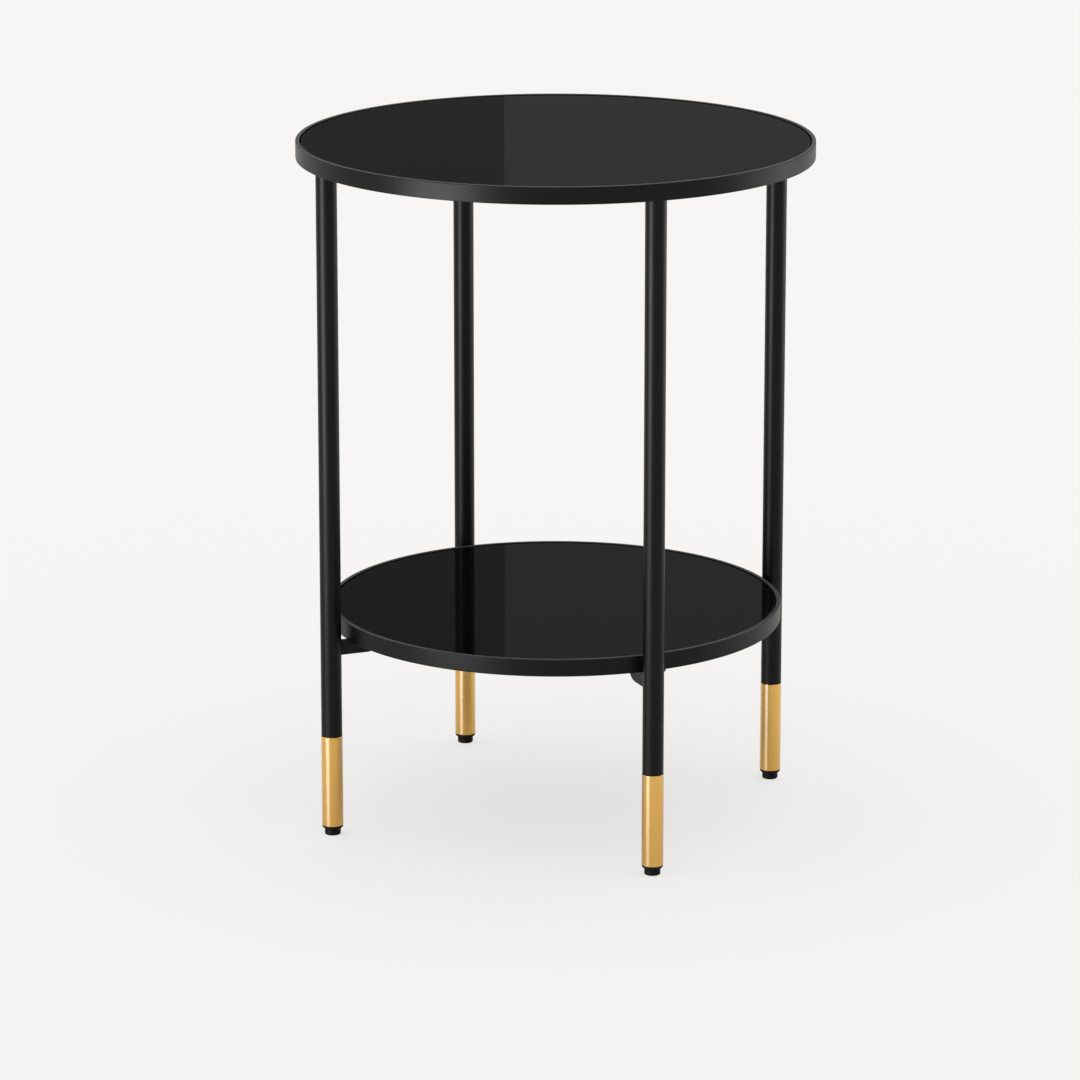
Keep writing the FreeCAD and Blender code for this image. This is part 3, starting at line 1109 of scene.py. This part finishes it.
@dataclass
class LevellingFoot:
    """One levelling foot: a moulded head on a threaded stud."""

    place: Place
    floor_edge_mm: float = 0.9
    head_edge_mm: float = 0.3
    small_edge_mm: float = 0.1
    stud_fit_mm: float = 0.05
    pitch_mm: float = 1.0
    thread_depth_mm: float = 0.6
    rings_per_pitch: int = 14

    def __post_init__(self) -> None:
        """Reads the foot's places from the frame."""
        self.head_box = Extent.of(f"foot_head_{self.place.value}")
        self.stud_box = Extent.of(f"foot_stud_{self.place.value}")
        self.angle, self.circle = self.head_box.heading, self.head_box.circle

    def head(self) -> bpy.types.Mesh:
        """The head, turned: a section with a rounded floor edge and a blind hole for the stud.

        Returns:
            The new mesh.
        """
        radius, top = self.head_box.half_width, self.head_box.high.z
        hole = self.stud_box.half_width + mm(self.stud_fit_mm)
        hole_floor = self.stud_box.low.z
        small = mm(self.small_edge_mm)
        corners = [
            (0.0, 0.0),
            (radius, 0.0),
            (radius, top),
            (hole, top),
            (hole, hole_floor),
            (0.0, hole_floor),
        ]
        radii = [mm(self.floor_edge_mm), mm(self.head_edge_mm), small, small]
        foot = lathe(corners, radii, Section.CAPPED, TUBE_SEGMENTS).placed(self.circle, self.angle)
        return foot.mesh(f"foot_{self.place.value}")

    def stud(self) -> bpy.types.Mesh:
        """The stud's thread.

        At turn t and height z the phase is z / pitch - t / 2 pi. The radius falls from the crest by the
        thread's depth times a clipped triangle of that phase, flat at crest and root, and is drawn in to a
        chamfer at both ends.

        Returns:
            The new mesh.
        """
        crest_share, flank_share = 0.125, 0.625
        bottom, top = self.stud_box.low.z, self.stud_box.high.z
        crest, depth, pitch = self.stud_box.half_width, mm(self.thread_depth_mm), mm(self.pitch_mm)
        rows = int((top - bottom) / pitch * self.rings_per_pitch)
        z = np.linspace(bottom, top, rows)[:, None]
        turn = np.arange(TUBE_SEGMENTS)[None] * (2 * np.pi / TUBE_SEGMENTS)
        phase = (z / pitch - turn / (2 * np.pi)) % 1.0
        flank = np.clip((1 - np.abs(2 * phase - 1) - crest_share) / flank_share, 0.0, 1.0)
        to_end = np.minimum(z - bottom, top - z)
        radius = np.minimum(crest - depth * flank, crest - depth + to_end)
        points = np.stack([radius * np.cos(turn), radius * np.sin(turn), z + 0 * turn], axis=-1)
        thread = from_grid(points, Section.CAPPED).placed(self.circle, self.angle)
        return thread.mesh(f"stud_{self.place.value}")

    def build(self, finishes: Finishes) -> None:
        """Makes the foot's pieces and dresses them.

        Args:
            finishes: The table's materials.
        """
        place = self.place.value
        body = f"foot_{place}"
        add_piece(f"head_{place}", self.head(), finishes.nylon, body, [f"foot_head_{place}"])
        add_piece(f"stud_{place}", self.stud(), finishes.zinc, body, [f"foot_stud_{place}"])


@dataclass
class HiddenFasteners:
    """The bolts, screws and bushes under the glass, whose solids show as they are."""

    bushes: tuple[str, ...] = tuple(f"leg_bush_{place.value}" for place in Place)

    def build(self, finishes: Finishes) -> None:
        """Dresses the fasteners' nodes.

        Args:
            finishes: The table's materials.
        """
        for name in ("leg_bolts", "shelf_screws", *self.bushes):
            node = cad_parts[name]
            node.material_slots[0].material = finishes.zinc
            LOG.info("%s: dressed as it is", name)


@dataclass
class PhotoCamera:
    """A camera at the photograph's place: plan distance, azimuth, height, and how far it looks down."""

    azimuth_deg: float = 22.03
    distance: float = 3.7896
    aside: float = -0.0114
    height: float = 1.2002
    pitch_deg: float = 14.691
    lens_mm: float = 175.39
    sensor_mm: float = 36.0
    nearest: float = 0.1
    furthest: float = 200.0

    def build(self) -> None:
        """Makes the camera the scene's own."""
        data = bpy.data.cameras.new("photo_camera")
        data.lens = self.lens_mm
        data.sensor_width = self.sensor_mm
        data.clip_start, data.clip_end = self.nearest, self.furthest
        camera = add_object("photo_camera", data)
        turn = math.radians(self.azimuth_deg)
        right = Vector((math.cos(turn), math.sin(turn), 0.0))
        back = Vector((math.sin(turn), -math.cos(turn), 0.0))
        camera.location = right * self.aside + back * self.distance + Vector((0.0, 0.0, self.height))
        camera.rotation_euler = (math.radians(RIGHT_ANGLE_DEG - self.pitch_deg), 0.0, turn)
        bpy.context.scene.camera = camera


@dataclass
class Softbox:
    """A soft light that shows in glossy surfaces alone, so that the floor stays even."""

    name: str
    azimuth_deg: float
    distance: float = 1.7
    width: float = 0.9
    low: float = 0.01
    high: float = 0.21
    radiance: float = 39.0

    def build(self) -> None:
        """Makes the light, upright and facing the table."""
        data = bpy.data.lights.new(self.name, "AREA")
        data.shape = "RECTANGLE"
        data.size, data.size_y = self.width, self.high - self.low
        data.energy = self.radiance * math.pi * data.size * data.size_y
        light = add_object(self.name, data)
        turn = math.radians(self.azimuth_deg)
        light.location = (
            self.distance * math.sin(turn),
            -self.distance * math.cos(turn),
            (self.low + self.high) / 2,
        )
        light.rotation_euler = (math.radians(RIGHT_ANGLE_DEG), 0.0, turn)
        light.visible_camera = False
        light.visible_diffuse = False


@dataclass
class Studio:
    """A pale floor and the light: a bright ceiling, and walls that are dim above a pale skirting."""

    floor_colour: str = "#F6F5F4"
    light_colour: str = "#FFFFFF"
    floor_reach: float = 80.0
    shadow_lift: float = 0.75
    mirrored_lift: float = 0.15
    ceiling: float = 1.26
    ceiling_from_deg: float = 20.0
    ceiling_full_deg: float = 36.0
    left_wall: float = 0.054
    right_wall: float = 0.09
    wall_corner_deg: float = 22.425
    skirting: float = 0.91
    skirting_top_deg: float = 7.5
    wall_from_deg: float = 9.0

    def floor(self) -> None:
        """A large level floor with a matt pale finish.

        Its own tone partly fills the table's shadow where the eye sees the floor, and less so in
        reflections, so that metal near the floor shows the shade under the table.
        """
        reach = self.floor_reach
        mesh = bpy.data.meshes.new("floor")
        mesh.from_pydata(
            [(-reach, -reach, 0.0), (reach, -reach, 0.0), (reach, reach, 0.0), (-reach, reach, 0.0)],
            [],
            [(0, 1, 2, 3)],
        )
        material, tree = empty_material("matt_pale_floor")
        matt = add_node(tree, "BsdfPrincipled", {
            "Base Color": linear(self.floor_colour),
            "Roughness": 1.0,
            "Specular IOR Level": 0.0,
        })[0]
        tone = add_node(tree, "Emission", {"Color": linear(self.floor_colour)})[0]
        ray = add_node(tree, "LightPath")
        seen = add_node(tree, "Math", {0: ray["Is Camera Ray"], 1: ray["Is Transmission Ray"]})[0]
        mirrored = add_node(
            tree, "Math", {0: ray["Is Glossy Ray"], 1: self.mirrored_lift}, operation="MULTIPLY"
        )[0]
        lift = add_node(
            tree, "Math", {0: seen, 1: self.shadow_lift, 2: mirrored}, operation="MULTIPLY_ADD"
        )[0]
        shader = add_node(tree, "MixShader", {0: lift, 1: matt, 2: tone})[0]
        add_node(tree, "OutputMaterial", {"Surface": shader})
        mesh.materials.append(material)
        floor = add_object("floor", mesh)

    def world(self) -> None:
        """The light from all round, as a function of the direction's height and heading.

        Upwards, the strength goes from the skirting to the wall to the ceiling, each change a smooth step
        in the sine of the elevation. Round the wall it goes from the left tone to the right tone, which
        meet in one corner.
        """
        world = bpy.data.worlds.new("studio")
        world.use_nodes = True
        tree = world.node_tree
        tree.nodes.clear()
        heading = add_node(tree, "TexCoord")["Generated"]
        turned = add_node(tree, "VectorRotate", {
            "Vector": heading,
            "Angle": math.radians(RIGHT_ANGLE_DEG - self.wall_corner_deg),
        }, rotation_type="Z_AXIS")[0]
        axes = add_node(tree, "SeparateXYZ", {"Vector": turned})
        angle = add_node(tree, "Math", {0: axes["Y"], 1: axes["X"]}, operation="ARCTAN2")[0]
        wall = add_node(tree, "MapRange", {
            "Value": angle,
            "From Min": -math.pi,
            "From Max": math.pi,
            "To Min": self.left_wall,
            "To Max": self.right_wall,
        })[0]
        strength: Any = self.skirting
        for start_deg, end_deg, above in (
            (self.skirting_top_deg, self.wall_from_deg, wall),
            (self.ceiling_from_deg, self.ceiling_full_deg, self.ceiling),
        ):
            strength = add_node(tree, "MapRange", {
                "Value": axes["Z"],
                "From Min": math.sin(math.radians(start_deg)),
                "From Max": math.sin(math.radians(end_deg)),
                "To Min": strength,
                "To Max": above,
            }, interpolation_type="SMOOTHSTEP")[0]
        light = add_node(
            tree, "Background", {"Color": linear(self.light_colour), "Strength": strength}
        )[0]
        add_node(tree, "OutputWorld", {"Surface": light})
        bpy.context.scene.world = world

    def build(self) -> None:
        """Makes the floor and the light, and sets the plain view transform."""
        self.floor()
        self.world()
        bpy.context.scene.view_settings.view_transform = "Standard"


def main() -> None:
    """Builds the table's pieces in order, then the studio and the camera."""
    logging.basicConfig(level=logging.INFO, format="%(message)s")
    finishes = Finishes()
    top = Tier("top", ScrewHole(shank_mm=3.05, head_mm=5.85, inward_mm=0.0, aside_mm=0.0))
    shelf = Tier("shelf", ScrewHole(shank_mm=2.55, head_mm=4.85, inward_mm=27.7, aside_mm=10.0))
    top.build(finishes)
    shelf.build(finishes)
    for place in Place:
        Leg(place).build(finishes, shelf)
        LevellingFoot(place).build(finishes)
    HiddenFasteners().build(finishes)
    Studio().build()
    for softbox in (
        Softbox("left_softbox", azimuth_deg=-27.0),
        Softbox("right_softbox", azimuth_deg=125.0, width=1.2, radiance=4.4),
    ):
        softbox.build()
    PhotoCamera().build()


if __name__ == "__main__":
    main()
